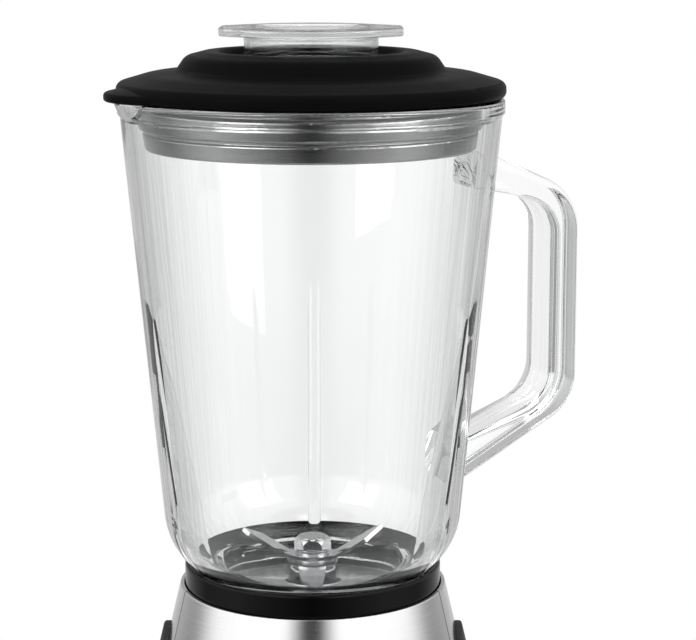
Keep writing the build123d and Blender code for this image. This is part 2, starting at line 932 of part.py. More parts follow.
def lug_ring(inner, outer, bottom, top):
    """Short arcs of a ring, which lock glass and collar together by a part turn."""
    points = [(inner, bottom), (outer, bottom), (outer, top), (inner, top)]
    return [turned(points, a - lug_span / 2, lug_span) for a in even(lug_count)]


lug_bottom = jar_foot + lug_lift
lug_top = lug_bottom + lug_height


def collar():
    """Black ring that carries the glass, the blade carrier and the lugs of the jar lock."""
    ring = turned([
        (collar_radius, seat_floor, 0.8),
        (collar_radius, collar_top, collar_crown),
        (collar_bore, collar_top),
        (collar_bore, carrier_seat),
        (collar_flange_bore, carrier_seat),
        (collar_flange_bore, carrier_seat - collar_flange, 0.6),
        (collar_radius - collar_wall, carrier_seat - collar_flange),
        (collar_radius - collar_wall, seat_floor, 0.6),
    ])
    ring -= jar_body(loose_gap)
    lugs = lug_ring(neck_radius + loose_gap, collar_bore + 1, lug_top + loose_gap, neck_top - loose_gap)
    ring = joined([ring, *lugs])
    notch_inside = collar_radius - collar_wall - 2
    notch_outside = seat_bore + 2
    for a in even(key_count, 45):
        notch = block(notch_outside - notch_inside, key_width + 2 * loose_gap, seat_floor - 1,
                      seat_floor + key_height + loose_gap, x=(notch_outside + notch_inside) / 2)
        ring -= Rot(0, 0, a) * notch
    return ring


def jar_seal():
    """Flat ring between the glass foot and the blade carrier."""
    bore = neck_radius - neck_wall + loose_gap
    return tube(lug_radius, bore, carrier_top + seat_gap / 2, carrier_top + seal_thickness)


def blade_carrier():
    """Steel dish that closes the jar and holds the spindle bushes."""
    return turned([
        (bush_radius + seat_gap, hub_bottom),
        (carrier_hub_radius, hub_bottom, 0.6),
        (carrier_hub_radius, carrier_seat + seat_gap, 0.4),
        (lug_radius, carrier_seat + seat_gap, 0.4),
        (lug_radius, carrier_top, 0.4),
        (carrier_hub_radius, carrier_top, 2.5),
        (carrier_hub_radius - 1, hub_top, 1.0),
        (bush_radius + seat_gap, hub_top),
    ])


def spindle_bushes():
    """Two bronze bushes in the carrier hub."""
    bore = spindle_radius + running_gap
    upper = hub_bottom + bush_length + 1
    return Compound([
        tube(bush_radius, bore, hub_bottom + 0.5, hub_bottom + 0.5 + bush_length),
        tube(bush_radius, bore, upper, upper + bush_length),
    ])


def spindle_seal():
    """Rubber lip seal at the top of the hub."""
    return tube(bush_radius, spindle_radius + running_gap * 2, hub_top - spindle_seal_height, hub_top - 0.2)


def blade_spindle():
    """Spindle with a flange under the blades."""
    top = nut_bottom + blade_nut_height - 2
    return joined([
        rod(spindle_radius, star_top + loose_gap * 2, top),
        rod(spindle_flange_radius, spindle_flange, spindle_flange + spindle_flange_height),
    ])


def blade(bottom, tilt, turn):
    """Flat hub with two pointed wings bent up or down, on opposite sides."""
    bend = spindle_flange_radius + blade_thickness
    wing = make_face(Polyline(
        (0, -blade_root_width / 2),
        (blade_tip_radius * 0.75, -blade_tip_width),
        (blade_tip_radius, blade_tip_width / 2),
        (blade_tip_radius * 0.9, blade_tip_width),
        (0, blade_root_width / 2),
        close=True,
    ))
    flat = extrude(wing, blade_thickness) - block(2 * bend, blade_root_width * 2, -1, blade_thickness + 1)
    bent = Pos(bend, 0, bottom) * Rot(0, -tilt, 0) * Pos(-bend, 0, 0) * flat
    hub = rod(bend + blade_shoulder, bottom, bottom + blade_thickness)
    shape = hub + bent + Rot(0, 0, 180) * bent
    shape -= rod(spindle_radius + seat_gap, bottom - 1, bottom + blade_thickness + 1)
    return Rot(0, 0, turn) * shape


def blade_spacers():
    """Rings between the blades and under the nut."""
    bore = spindle_radius + seat_gap
    rings = []
    for blade_bottom in (lower_blade_bottom, upper_blade_bottom):
        bottom = blade_bottom + blade_thickness + seat_gap
        rings.append(tube(spindle_flange_radius, bore, bottom, bottom + spacer_height))
    return Compound(rings)


def blade_nut():
    """Domed nut on top of the blades."""
    top = nut_bottom + blade_nut_height
    body = hexagon(blade_nut_radius, nut_bottom, top)
    dome = turned([(0, nut_bottom), (blade_nut_radius, nut_bottom), (blade_nut_radius, top, 3), (0, top)])
    return (body & dome) - rod(spindle_radius + seat_gap, nut_bottom - 1, top - 2 + seat_gap)


# Glass jar

def bowl_corner(start_radius, start_height, radius_at, rounding):
    """Where the bowl's sloping floor meets a tapering wall, with a rounding that the floor has room for."""
    floor = math.radians(bowl_slope)
    taper = radius_at(1) - radius_at(0)
    rise = (radius_at(start_height) - start_radius) / (1 / math.tan(floor) - taper)
    turn = math.pi / 2 - math.atan(taper) - floor
    room = rise / math.sin(floor) / math.tan(turn / 2)
    return start_radius + rise / math.tan(floor), start_height + rise, min(rounding, bowl_share * room)


def jar_body(grow=0):
    """The jar as one solid lump, without its inside, grown by this much all round."""
    slope = math.radians(bowl_slope)
    neck = neck_radius + grow
    shoulder = neck_top + grow * math.tan(slope) - grow / math.cos(slope)
    corner = bowl_corner(neck, shoulder, lambda z: wall_radius(z) + grow, bowl_radius + grow)
    bead_foot = jar_rim - bead_height
    bead = jar_rim_radius + bead_proud + grow
    return turned([
        (0, jar_foot - grow),
        (neck, jar_foot - grow, 0.8),
        (neck, shoulder, neck_blend),
        corner,
        (wall_radius(bead_foot) + grow, bead_foot, 2.0),
        (bead, bead_foot + 1.2, 1.0),
        (bead, jar_rim, bead_round),
        (0, jar_rim),
    ])


def jar_cavity():
    """The inside of the jar, from the neck bore to the rim."""
    slope = math.radians(bowl_slope)
    bore = neck_radius - neck_wall
    bore_top = neck_top - neck_wall * math.tan(slope) + neck_wall / math.cos(slope)
    corner = bowl_corner(bore, bore_top, cavity_radius, bowl_radius - neck_wall)
    flare = rim_wall / 3
    return turned([
        (0, jar_foot - 1),
        (bore, jar_foot - 1),
        (bore, bore_top, neck_blend),
        corner,
        (cavity_radius(jar_rim - flare), jar_rim - flare, flare / 2),
        (cavity_radius(jar_rim) + flare, jar_rim, 0),
        (cavity_radius(jar_rim) + flare, jar_rim + 1, 0),
        (0, jar_rim + 1),
    ])


def rib(angle):
    """Inner rib that stirs the flow: a bar standing in from the wall and fading out at both ends."""
    low = neck_top + rib_bottom
    middle = neck_top + rib_crest
    high = neck_top + rib_length
    far = jar_rim_radius * 1.2
    face = Plane.XZ * make_face(FilletPolyline(
        (neck_radius + rib_bottom / 4, low),
        (cavity_radius(middle) - rib_depth, middle),
        (cavity_radius(high) + 0.5, high),
        (far, high),
        (far, low),
        radius=[0, 20, 0, 0, 0],
        close=True,
    ))
    bar = extrude(face, rib_width / 2, both=True)
    sides = [e for e in bar.edges() if abs(e.center().Y) > rib_width / 2 - 0.01]
    crest = [e for e in sides if e.center().X < cavity_radius(high)]
    return Rot(0, 0, angle) * fillet(crest, rib_round)


def spout(wall):
    """Pouring lip: a bulge of the rim that narrows downwards, this much thinner than its outside."""
    levels = ((0, 0), (0.42, 0.3), (1, 1.7))
    rings = []
    for depth, fall in levels:
        reach = jar_rim_radius + spout_reach * (1 - fall)
        radius = spout_half_width - wall - 2 * depth
        centre = Plane(origin=(reach - spout_half_width, 0, jar_rim - spout_depth * depth))
        rings.append(centre * Circle(radius))
    return Rot(0, 0, spout_turn) * loft(rings)


def handle():
    """Strap handle: a flat band bent round the fingers, with rounded edges."""
    top = jar_foot + handle_top
    bottom = jar_foot + handle_bottom
    inside = handle_reach - handle_thickness
    top_root = wall_radius(top) - rim_wall - 4
    foot_root = wall_radius(bottom) - rim_wall - 4
    top_end = top + handle_fall * (handle_reach - top_root)
    foot_end = bottom - handle_rise * (handle_reach - foot_root)
    root = handle_thickness * handle_root
    face = Plane.XZ * make_face(FilletPolyline(
        (top_root, top_end),
        (handle_reach, top),
        (handle_reach, bottom),
        (foot_root, foot_end),
        (foot_root, foot_end + root),
        (inside, bottom + 3.5),
        (inside, top - 3.0),
        (top_root, top_end - root),
        radius=[0, handle_bend, handle_bend - 2, 0, 0, handle_bend - 5, handle_bend - 8, 0],
        close=True,
    ))
    strap = extrude(face, handle_width / 2, both=True)
    sides = [e for e in strap.edges() if abs(e.center().Y) > handle_width / 2 - 0.01]
    outside = [e for e in sides if e.center().X > foot_root + 1]
    return Rot(0, 0, jar_turn) * fillet(outside, handle_round)


def glass_jar():
    """Glass jar with handle, spout, ribs and the lugs of the jar lock."""
    lugs = lug_ring(neck_radius - 1, lug_radius, lug_bottom, lug_top)
    body = joined([jar_body(), spout(0), handle(), *lugs])
    inside = jar_cavity() + spout(rim_wall)
    for a in (90, 270 - rib_spread, 270 + rib_spread):
        inside -= rib(a)
    return body - inside


# Lid

lid_radius = jar_rim_radius + lid_overhang
lid_skirt_radius = cavity_radius(lid_seat - lid_skirt_depth) - seal_room
cap_hole = cap_radius + loose_gap
recess_floor = lid_seat + dome_height - recess_depth


def lid():
    """Domed lid with a recess round the hole for the cap, an inner skirt and a tongue over the spout."""
    crest = lid_seat + dome_height
    rest = jar_rim_radius - rim_wall - 1.5
    body = turned([
        (lid_radius, lid_seat, 2.0),
        (lid_radius, lid_seat + lid_edge, 2.8),
        ((lid_radius + dome_radius) / 2, lid_seat + dome_base - 1.2, 20),
        (dome_radius, lid_seat + dome_base, 2.5),
        (dome_radius - 3.5, crest - 1.8, 5),
        (crest_radius + 5, crest, 7),
        (crest_radius, crest, 2.0),
        (crest_radius - 2, recess_floor, 1.5),
        (cap_hole, recess_floor, 0.6),
        (cap_hole, lid_seat - 2, 0.6),
        (cap_hole + lid_wall, lid_seat - 2, 0.6),
        (cap_hole + lid_wall, recess_floor - lid_wall, 1.0),
        (crest_radius - 0.5, recess_floor - lid_wall, 1.0),
        (crest_radius + 2, crest - lid_wall, 1.5),
        (dome_radius - 6.5, crest - 1.8 - lid_wall, 3),
        (dome_radius - 2.5, lid_seat + dome_base - lid_wall, 2.0),
        (lid_skirt_radius - lid_skirt_wall, lid_seat + dome_base - lid_wall - 1, 1.0),
        (lid_skirt_radius - lid_skirt_wall, lid_seat - lid_skirt_depth, 0.6),
        (lid_skirt_radius, lid_seat - lid_skirt_depth, 0.6),
        (lid_skirt_radius, lid_seat + lid_edge),
        (rest, lid_seat + lid_edge, 0.8),
        (rest, lid_seat, 0.8),
    ])
    place = lid_radius + tongue_reach - tongue_radius
    plate = turned([
        (0, lid_seat),
        (tongue_radius, lid_seat, 1.0),
        (tongue_radius, lid_seat + tongue_edge, 1.4),
        (tongue_radius - tongue_slope, lid_seat + lid_edge, 6.0),
        (0, lid_seat + lid_edge),
    ])
    tongue = Rot(0, 0, spout_turn) * Pos(place, 0, 0) * plate - rod(rest + 2, lid_seat - 1, lid_seat + 20)
    return body + tongue


def lid_seal():
    """Grey sleeve on the lid's skirt: two bands with a groove between them, and a wiping fin on top."""
    inner = lid_skirt_radius + seat_gap * 2
    foot = lid_seat - lid_skirt_depth - 2.4
    groove = lid_seat - 11.8
    fin_radius = cavity_radius(lid_seat - 2) - fin_gap
    band = lid_skirt_radius + band_step
    return turned([
        (inner, lid_seat - lid_skirt_depth - seat_gap),
        (lid_skirt_radius - lid_skirt_wall, lid_seat - lid_skirt_depth - seat_gap),
        (lid_skirt_radius - lid_skirt_wall, foot, 0.8),
        (band - 2.0, foot, 1.2),
        (band - 1.2, groove - 0.6, 0.8),
        (band - 2.2, groove - 0.4, 0.3),
        (band - 2.2, groove + 0.6, 0.3),
        (band + 0.2, groove + 1.2, 0.8),
        (band + 0.6, lid_seat - 4.0, 0.8),
        (band - 1.5, lid_seat - 3.6, 0.5),
        (band - 1.5, lid_seat - 2.4, 0.5),
        (fin_radius, lid_seat - 1.9, 0.4),
        (fin_radius, lid_seat - 0.7, 0.4),
        (inner, lid_seat - 0.5),
    ])


def measuring_cap():
    """Clear cup that hangs in the lid: closed on top, open below, with a flange to lift it by."""
    top = lid_seat + cap_top
    foot = top - cap_depth
    seat = recess_floor + seat_gap
    inner = cap_radius - cap_wall
    roof = top - cap_dish - cap_roof
    ears = RectangleRounded(2 * cap_ear_reach, cap_ear_width, cap_ear_round)
    flat = make_hull(Circle(cap_flange_radius).edges() + ears.edges())
    flange = Pos(0, 0, top - cap_flange) * extrude(flat, cap_flange)
    rims = flange.edges().group_by(Axis.Z)
    flange = fillet(rims[0] + rims[-1], cap_flange / 4)
    cup = turned([
        (0, top - cap_flange / 2),
        (cap_radius, top - cap_flange / 2),
        (cap_radius, seat + cap_shoulder, 0.4),
        (cap_radius + cap_shoulder_width, seat + cap_shoulder, 0.5),
        (cap_radius + cap_shoulder_width, seat, 0.3),
        (cap_radius, seat),
        (cap_radius, foot, 0.6),
        (0, foot),
    ])
    hollow = turned([(0, foot - 1), (inner, foot - 1), (inner, roof, 2.0), (0, roof)])
    dish = turned([
        (0, top - cap_dish),
        (inner - cap_dish, top - cap_dish, 0.5),
        (inner + cap_dish, top + cap_dish),
        (0, top + cap_dish),
    ])
    return flange + cup - hollow - dish


def save(shape, node):
    """Write one piece to its own file."""
    export_step(shape, f"parts/{node}.step")


save(motor_housing(), "motor_housing")
save(jar_seat(), "jar_seat")
save(front_panel(), "front_panel")
save(rear_panel(), "rear_panel")
save(steel_skin(180, strip_angle), "left_strip")
save(steel_skin(0, strip_angle), "right_strip")
save(side_grip(180), "left_grip")
save(side_grip(0), "right_grip")
save(base_plate(), "base_plate")
save(rubber_feet(), "rubber_feet")
save(base_screws(), "base_screws")
save(cord_gland(), "cord_gland")
save(control_bezel(), "control_bezel")
save(bezel_ring(), "bezel_ring")
save(speed_knob(), "speed_knob")
save(knob_pointer(), "knob_pointer")
save(knob_shaft(), "knob_shaft")
save(rotary_switch(), "rotary_switch")
save(switch_nut(), "switch_nut")
save(interlock_pin(), "interlock_pin")
save(interlock_switch(), "interlock_switch")
save(terminal_block(), "terminal_block")
save(stator_core(), "stator_core")
save(field_coils(), "field_coils")
save(armature_core(), "armature_core")
save(armature_winding(), "armature_winding")
save(commutator(), "commutator")
save(motor_shaft(), "motor_shaft")
save(cooling_fan(), "cooling_fan")
save(bearing(upper_bearing_bottom), "upper_bearing")
save(bearing(lower_bearing_bottom), "lower_bearing")
save(upper_bracket(), "upper_bracket")
save(lower_bracket(), "lower_bracket")
save(motor_bolts(), "motor_bolts")
save(motor_nuts(), "motor_nuts")
save(motor_grommets(), "motor_grommets")
save(bracket_screws(), "bracket_screws")
save(brush_holders(), "brush_holders")
save(carbon_brushes(), "carbon_brushes")
save(drive_coupling(), "drive_coupling")
save(driven_coupling(), "driven_coupling")
save(collar(), "collar")
save(jar_seal(), "jar_seal")
save(blade_carrier(), "blade_carrier")
save(spindle_bushes(), "spindle_bushes")
save(spindle_seal(), "spindle_seal")
save(blade_spindle(), "blade_spindle")
save(blade(lower_blade_bottom, lower_blade_tilt, 90), "lower_blade")
save(blade(upper_blade_bottom, upper_blade_tilt, 0), "upper_blade")
save(blade_spacers(), "blade_spacers")
save(blade_nut(), "blade_nut")
save(glass_jar(), "glass_jar")
save(lid(), "lid")
save(lid_seal(), "lid_seal")
save(measuring_cap(), "measuring_cap")
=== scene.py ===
import json
import math

import bpy
import numpy as np
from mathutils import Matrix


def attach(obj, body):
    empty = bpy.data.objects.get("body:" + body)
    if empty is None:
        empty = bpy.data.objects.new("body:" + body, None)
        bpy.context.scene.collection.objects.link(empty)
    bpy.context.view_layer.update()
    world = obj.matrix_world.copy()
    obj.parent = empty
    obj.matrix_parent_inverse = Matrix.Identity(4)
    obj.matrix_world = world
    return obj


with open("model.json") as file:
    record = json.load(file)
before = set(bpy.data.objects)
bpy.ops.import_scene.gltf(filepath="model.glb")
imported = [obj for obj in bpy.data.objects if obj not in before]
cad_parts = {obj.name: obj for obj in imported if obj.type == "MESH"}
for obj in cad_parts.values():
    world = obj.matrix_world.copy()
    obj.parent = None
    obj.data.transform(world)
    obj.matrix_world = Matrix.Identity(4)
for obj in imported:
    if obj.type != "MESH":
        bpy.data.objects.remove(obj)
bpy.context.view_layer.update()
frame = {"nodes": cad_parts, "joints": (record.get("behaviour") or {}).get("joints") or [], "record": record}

# Camera at the photograph's viewing angle
camera_place = (0.0134, -0.800, 0.4165)
camera_pitch = math.radians(10.5)
camera_lens = 112.9
sensor_width = 36.0

# Studio: the floor, the shadow on it by share of its reach, and the levels of light
floor_size = 4.0
floor_colour = (0.8, 0.8, 0.8)
floor_roughness = 0.9
shadow_reach = 0.42
shadow_fade = ((0.35, 0.0), (1.0, 1.0))
ambient = 0.55
box_level = 1.45
white = (1, 1, 1, 1)

# Lamps, turned to the middle of the object: place, width, height and power
lamp_target = (0, 0, 0.2)
lamps = {
    "lamp_left": ((-1.1, -1.1, 0.9), 0.9, 1.2, 9),
    "lamp_right": ((1.2, -0.9, 0.8), 0.9, 1.2, 7),
    "lamp_top": ((0, 0.2, 1.5), 1.2, 1.2, 8),
}

# What mirrors see, from straight in front (0) to straight behind (1): soft boxes above the level of the eye,
# with a dark gap in front, and the room below it
soft_boxes = (
    (0.0, 0.03), (0.035, 0.05), (0.08, 0.55), (0.12, 1.0),
    (0.48, 1.0), (0.64, 0.5), (0.8, 0.35), (1.0, 0.3),
)
dark_room = (
    (0.0, 0.02), (0.03, 0.05), (0.07, 0.14), (0.2, 0.42),
    (0.36, 0.78), (0.42, 0.7), (0.58, 0.28), (1.0, 0.85),
)

# From straight down (0) to straight up (1): where the soft boxes begin, and what bent glass sees, which is
# white walls and a darker ceiling
box_foot = ((0.465, 0.0), (0.515, 1.0))
ceiling = ((0.62, 1.0), (0.8, 0.25))

# Clear finishes: level of light that is mirrored more than once, number of turns after which light goes
# straight on, and colour of what goes straight through
glass_glow = 0.8
lost_ray = 7
through_colour = (0.96, 0.97, 0.97, 1)

# Painted shade on clear finishes: dark upright streaks painted into the colour where seen edge-on. Scale per
# radian round and per metre up, levels, growth towards the edge, how far from the drive axis they reach and
# how they end there
streaks_round = 36.0
streaks_up = 9.0
streak_levels = ((0.36, 0.15), (0.6, 1.0))
streak_growth = 2.0
streak_reach = 0.080
streak_end = ((0.92, 1.0), (1.0, 0.4))

# Patterns on the other finishes: scales per metre, depths in metres, spread of roughness and share of colour
gloss_scale = 60.0
gloss_spread = 0.12
shade_scale = 35.0
shade_share = 1.4
grain_round = 3.0
grain_spread = 0.16
grain_share = 0.86
smudge_scale = 90.0
smudge_spread = 0.14
pit_scale = 700.0
pit_depth = 0.00002
wire_scale = 9000.0
wire_slant = 0.15
wire_depth = 0.00015
enamel_scale = 200.0
sheet_scale = 9000.0
sheet_depth = 0.0001
groove_share = 0.6

# Dial marks: speeds 0 to 5 run clockwise from the top, and a dot on the other side marks the short burst
dial_joint = next(j for j in frame["joints"] if j["name"] == "knob_turn")
dial_centre = np.array(dial_joint["pos_m"])
dial_normal = np.array(dial_joint["axis"])
dial_right = np.array((1.0, 0.0, 0.0))
dial_up = np.cross(dial_normal, dial_right)
dial_face = 0.005
mark_depth = 0.00012
speeds = 6
knob_low, knob_high = (math.radians(limit) for limit in dial_joint["range_deg"])
speed_turn = -knob_low / (speeds - 1)
burst_turn = -knob_high
number_circle = 0.0276
number_size = 0.0054
tick_circle = 0.0222
tick_length = 0.0014
tick_width = 0.0007
burst_radius = 0.0012
burst_corners = 24


def feed(tree, socket, value):
    """Set a socket to a plain value, or link it where the value is a socket of the tree."""
    if isinstance(value, Shade):
        tree.links.new(value.socket, socket)
    else:
        socket.default_value = value


def maths(tree, operation, *values):
    """One Math node on these values."""
    node = tree.nodes.new("ShaderNodeMath")
    node.operation = operation
    for socket, value in zip(node.inputs, values):
        feed(tree, socket, value)
    return Shade(tree, node.outputs[0])


class Shade:
    """A number that varies over a surface: arithmetic on it adds Math nodes to its tree."""

    def __init__(self, tree, socket):
        self.tree = tree
        self.socket = socket

    def __add__(self, other):
        return maths(self.tree, "ADD", self, other)

    def __sub__(self, other):
        return maths(self.tree, "SUBTRACT", self, other)

    def __rsub__(self, other):
        return maths(self.tree, "SUBTRACT", other, self)

    def __mul__(self, other):
        return maths(self.tree, "MULTIPLY", self, other)

    def __truediv__(self, other):
        return maths(self.tree, "DIVIDE", self, other)

    def __pow__(self, other):
        return maths(self.tree, "POWER", self, other)

    __radd__ = __add__
    __rmul__ = __mul__


class Nodes:
    """A node tree, with the nodes that the studio and the finishes need."""

    def __init__(self, tree):
        self.tree = tree

    def node(self, kind, settings=(), out=0, **inputs):
        """Add a node and give one of its outputs. A socket goes by name, or by place, such as at_1."""
        node = self.tree.nodes.new("ShaderNode" + kind)
        for key, value in dict(settings).items():
            if key == "stops":
                self.set_stops(node.color_ramp, value)
            else:
                setattr(node, key, value)
        for key, value in inputs.items():
            socket = int(key[3:]) if key.startswith("at_") else key.replace("_", " ")
            feed(self.tree, node.inputs[socket], value)
        return Shade(self.tree, node.outputs[out])

    @staticmethod
    def set_stops(ramp, stops):
        """Grey levels of a ramp at places from 0 to 1."""
        while len(ramp.elements) < len(stops):
            ramp.elements.new(1.0)
        for element, (place, level) in zip(ramp.elements, stops):
            element.position = place
            element.color = (level, level, level, 1)

    def xyz(self, vector):
        """The three parts of a vector."""
        parts = self.tree.nodes.new("ShaderNodeSeparateXYZ")
        feed(self.tree, parts.inputs[0], vector)
        return [Shade(self.tree, socket) for socket in parts.outputs]

    def ramp(self, value, stops):
        """A level that follows a value from 0 to 1."""
        return self.node("ValToRGB", {"stops": stops}, Fac=value)

    def around(self, x, y, stops):
        """A level that follows the angle from straight in front, alike on the left and on the right."""
        turn = maths(self.tree, "ARCTAN2", maths(self.tree, "ABSOLUTE", x), 0 - y)
        return self.ramp(turn / math.pi, stops)

    def seen_rays(self):
        """1 for what the eye sees straight, in a mirror or through glass, and 0 for light on the object."""
        kinds = ("Is Camera Ray", "Is Glossy Ray", "Is Transmission Ray")
        straight, mirrored, through = (self.node("LightPath", out=kind) for kind in kinds)
        return maths(self.tree, "MAXIMUM", maths(self.tree, "MAXIMUM", straight, mirrored), through)

    def passed(self, kind, times):
        """1 where the ray was mirrored or bent at least this many times on its way."""
        return maths(self.tree, "GREATER_THAN", self.node("LightPath", out=kind), times - 0.5)

    def backdrop(self, mirrored_level, bent_level=1.0):
        """White, but these levels where the ray was mirrored once, or else bent by glass, on its way."""
        bent = self.passed("Transmission Depth", 1) * (bent_level - 1.0) + 1.0
        once = bent + self.passed("Glossy Depth", 1) * (mirrored_level - bent)
        return once + self.passed("Glossy Depth", 2) * (glass_glow - once)


finishes = {}


class Finish(Nodes):
    """A material with one Principled shader, kept by its slot. Constants go onto the shader's own sockets."""

    def __init__(self, name, colour, **constants):
        self.material = bpy.data.materials.new(name)
        self.material.use_nodes = True
        finishes[name] = self.material
        super().__init__(self.material.node_tree)
        self.shader = self.tree.nodes["Principled BSDF"]
        self.output = self.tree.nodes["Material Output"]
        self.shader.inputs["Base Color"].default_value = (*colour, 1)
        self.constants(**constants)
        self.place = self.node("TexCoord", out="Object")

    def constants(self, **values):
        """Set sockets of the shader that are the same all over."""
        for key, value in values.items():
            self.shader.inputs[key.replace("_", " ")].default_value = value

    def vary(self, socket, value):
        """Link a socket of the shader to what varies over the surface."""
        feed(self.tree, self.shader.inputs[socket], value)

    def noise(self, scale, detail=2.0, at=None, roughness=0.5):
        """Soft random pattern on the object's own coordinates, or at these."""
        return self.node("TexNoise", Vector=at or self.place, Scale=scale, Detail=detail, Roughness=roughness)

    def about_axis(self):
        """Angle about the drive axis, distance from it and height."""
        x, y, z = self.xyz(self.place)
        return maths(self.tree, "ARCTAN2", y, x), maths(self.tree, "SQRT", x * x + y * y), z

    def gloss(self, roughness, pattern, spread):
        """Roughness that a pattern from 0 to 1 moves up and down from its middle."""
        self.vary("Roughness", (pattern - 0.5) * spread + roughness)

    def tint(self, factor, dark, light):
        """Base colour between two colours, which are sockets 6 and 7 of the Mix node, with output 2."""
        ends = {"at_6": (*dark, 1), "at_7": (*light, 1)}
        self.vary("Base Color", self.node("Mix", {"data_type": "RGBA"}, out=2, Factor=factor, **ends))

    def mixed(self, factor, other):
        """Show another shader in place of the main one by this factor."""
        main = Shade(self.tree, self.shader.outputs[0])
        shown = self.node("MixShader", at_0=factor, at_1=main, at_2=other)
        feed(self.tree, self.output.inputs["Surface"], shown)

    def bump(self, height, depth):
        """Fine relief, with its depth in metres."""
        self.vary("Normal", self.node("Bump", Height=height, Distance=depth, Strength=1.0))


# Finishes

def shaded(colour, share):
    """A colour made lighter or darker by this share."""
    return [min(1.0, level * share) for level in colour]


def moulded_plastic(name, colour, roughness, grain, depth, **constants):
    """Plastic with the fine grain of its mould and a faint unevenness of gloss."""
    finish = Finish(name, colour, **constants)
    finish.gloss(roughness, finish.noise(gloss_scale), gloss_spread)
    finish.tint(finish.noise(shade_scale, detail=3.0), colour, shaded(colour, shade_share))
    finish.bump(finish.noise(grain, detail=1.0), depth)


def clear(name, colour, painted_edge_shade, ior, ripple, depth, thinness):
    """Clear glass or plastic, rippled by its mould, with painted shade: dark upright streaks painted into its
    colour where seen edge-on.

    The thinness is the share of light that goes straight through. Rays that turned often go straight on too.
    """
    finish = Finish(name, colour, Roughness=0.0, IOR=ior, Transmission_Weight=1.0)
    finish.bump(finish.noise(ripple, detail=1.0), depth)
    angle, radius, z = finish.about_axis()
    upright = finish.node("CombineXYZ", X=angle * streaks_round, Y=z * streaks_up)
    streaks = finish.ramp(finish.noise(1.0, detail=3.0, at=upright), streak_levels)
    near = finish.ramp(radius / streak_reach, streak_end)
    edge = finish.node("LayerWeight", out="Facing", Blend=0.5)
    # Painted shade: the colour darkens towards the edge colour where the surface is seen edge-on, in upright
    # streaks that fade away from the drive axis
    finish.tint(edge ** streak_growth * streaks * near, colour, painted_edge_shade)
    shadow = finish.node("LightPath", out="Is Shadow Ray")
    through = finish.node("BsdfTransparent", Color=through_colour)
    straight = maths(finish.tree, "MAXIMUM", shadow, thinness)
    finish.mixed(maths(finish.tree, "MAXIMUM", straight, finish.passed("Ray Depth", lost_ray)), through)


def brushed_metal(name, colour, roughness, streaks, depth):
    """Metal ground in fine lines that run round the drive axis."""
    finish = Finish(name, colour, Metallic=1.0)
    angle, radius, z = finish.about_axis()
    lines = finish.node("CombineXYZ", X=angle * grain_round, Y=z * streaks, Z=radius * streaks)
    grain = finish.noise(1.0, detail=3.0, at=lines, roughness=0.6)
    finish.gloss(roughness, grain, grain_spread)
    finish.tint(grain, shaded(colour, grain_share), colour)
    finish.bump(grain, depth)


def plated_metal(name, colour, roughness):
    """Smooth metal with faint smudges."""
    finish = Finish(name, colour, Metallic=1.0)
    finish.gloss(roughness, finish.noise(smudge_scale, detail=3.0), smudge_spread)
    finish.bump(finish.noise(pit_scale), pit_depth)


def wound_wire(name, colour):
    """Enamelled wire lying side by side round the drive axis."""
    finish = Finish(name, colour, Metallic=0.7, Roughness=0.35)
    _, y, z = finish.xyz(finish.place)
    wave = maths(finish.tree, "SINE", (z + y * wire_slant) * wire_scale)
    finish.bump(wave, wire_depth)
    finish.tint(finish.noise(enamel_scale), shaded(colour, groove_share), colour)


def stacked_sheets(name, colour):
    """Edges of thin steel sheets, one on the other."""
    finish = Finish(name, colour, Metallic=0.8, Roughness=0.5)
    _, _, z = finish.xyz(finish.place)
    wave = maths(finish.tree, "SINE", z * sheet_scale)
    finish.bump(wave, sheet_depth)
    finish.tint(wave * 0.5 + 0.5, shaded(colour, groove_share), colour)


# Plastics and brushed metals: colour, roughness, and scale and depth of the grain. Clear finishes: colour,
# colour of the painted shade at the edge, index of refraction, scale and depth of the ripple, thinness.
# Plated metals:
# colour and roughness
moulded_plastic("lid_black", (0.003, 0.003, 0.003), 0.4, 2500, 0.00002, Specular_IOR_Level=0.02)
brushed_metal("seal_grey", (0.45, 0.45, 0.455), 0.15, 500, 0.000004)
clear("cap_clear", (0.95, 0.955, 0.955), (0.05, 0.06, 0.06), 1.47, 40, 0.0001, 0.25)
clear("jar_glass", (0.98, 0.985, 0.983), (0.08, 0.09, 0.088), 1.5, 22, 0.0003, 0.0)
moulded_plastic("collar_black", (0.002, 0.002, 0.002), 0.14, 300, 0.00001, Specular_IOR_Level=0.16)
brushed_metal("skin_steel", (0.78, 0.78, 0.785), 0.17, 4000, 0.00001)
moulded_plastic("grip_black", (0.012, 0.012, 0.013), 0.55, 3000, 0.00008)
moulded_plastic("housing_black", (0.012, 0.012, 0.013), 0.45, 2500, 0.00004)
moulded_plastic("foot_rubber", (0.02, 0.02, 0.021), 0.75, 1500, 0.00006)
plated_metal("screw_steel", (0.6, 0.6, 0.6), 0.3)
moulded_plastic("bezel_black", (0.01, 0.01, 0.011), 0.3, 1800, 0.00002)
plated_metal("ring_chrome", (0.82, 0.82, 0.83), 0.1)
moulded_plastic("knob_black", (0.014, 0.014, 0.015), 0.4, 2200, 0.00004)
moulded_plastic("pointer_white", (0.8, 0.8, 0.79), 0.4, 1500, 0.00002)
plated_metal("blade_steel", (0.7, 0.7, 0.71), 0.2)
plated_metal("bush_bronze", (0.55, 0.38, 0.2), 0.35)
moulded_plastic("coupling_black", (0.03, 0.03, 0.031), 0.5, 1500, 0.00005)
stacked_sheets("core_iron", (0.3, 0.3, 0.32))
wound_wire("winding_copper", (0.6, 0.27, 0.12))
plated_metal("shaft_steel", (0.62, 0.62, 0.63), 0.22)
moulded_plastic("fan_plastic", (0.06, 0.06, 0.065), 0.5, 1500, 0.00005)
